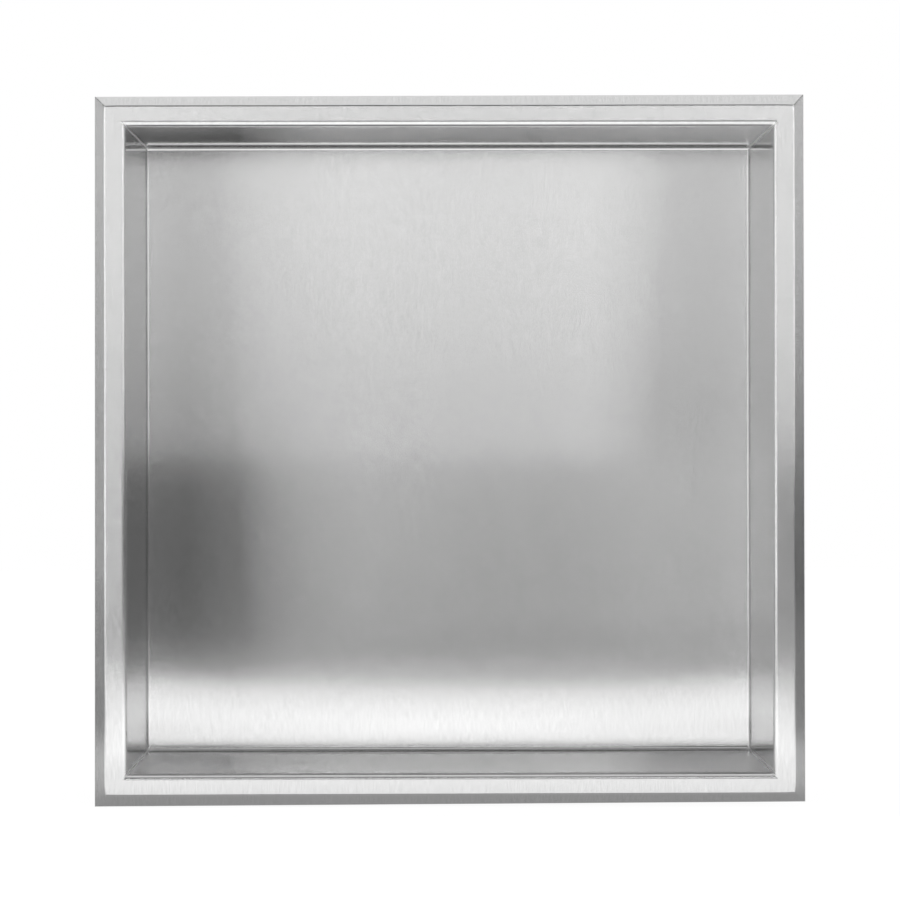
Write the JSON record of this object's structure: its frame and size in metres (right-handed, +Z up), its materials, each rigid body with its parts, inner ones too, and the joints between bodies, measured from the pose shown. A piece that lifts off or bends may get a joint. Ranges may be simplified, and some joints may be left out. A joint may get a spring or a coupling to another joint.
{
  "type": "shower niche insert",
  "caption": "Square brushed stainless steel wall niche: a deep folded pan with welded corners and a flat flange that ends in a mitred, sloped rim.",
  "frame": {"origin": "centre of the opening, in the plane of the flange's rear face, which is bedded on the wall", "axes": "+X to the right and +Z up as a person faces the niche, +Y into the wall"},
  "size_m": [0.3298, 0.1012, 0.3298],
  "materials": {
    "brushed_steel": "grain brushed from top to bottom"
  },
  "bodies": {
    "root": {"niche_pan": "brushed_steel"}
  },
  "joints": []
}
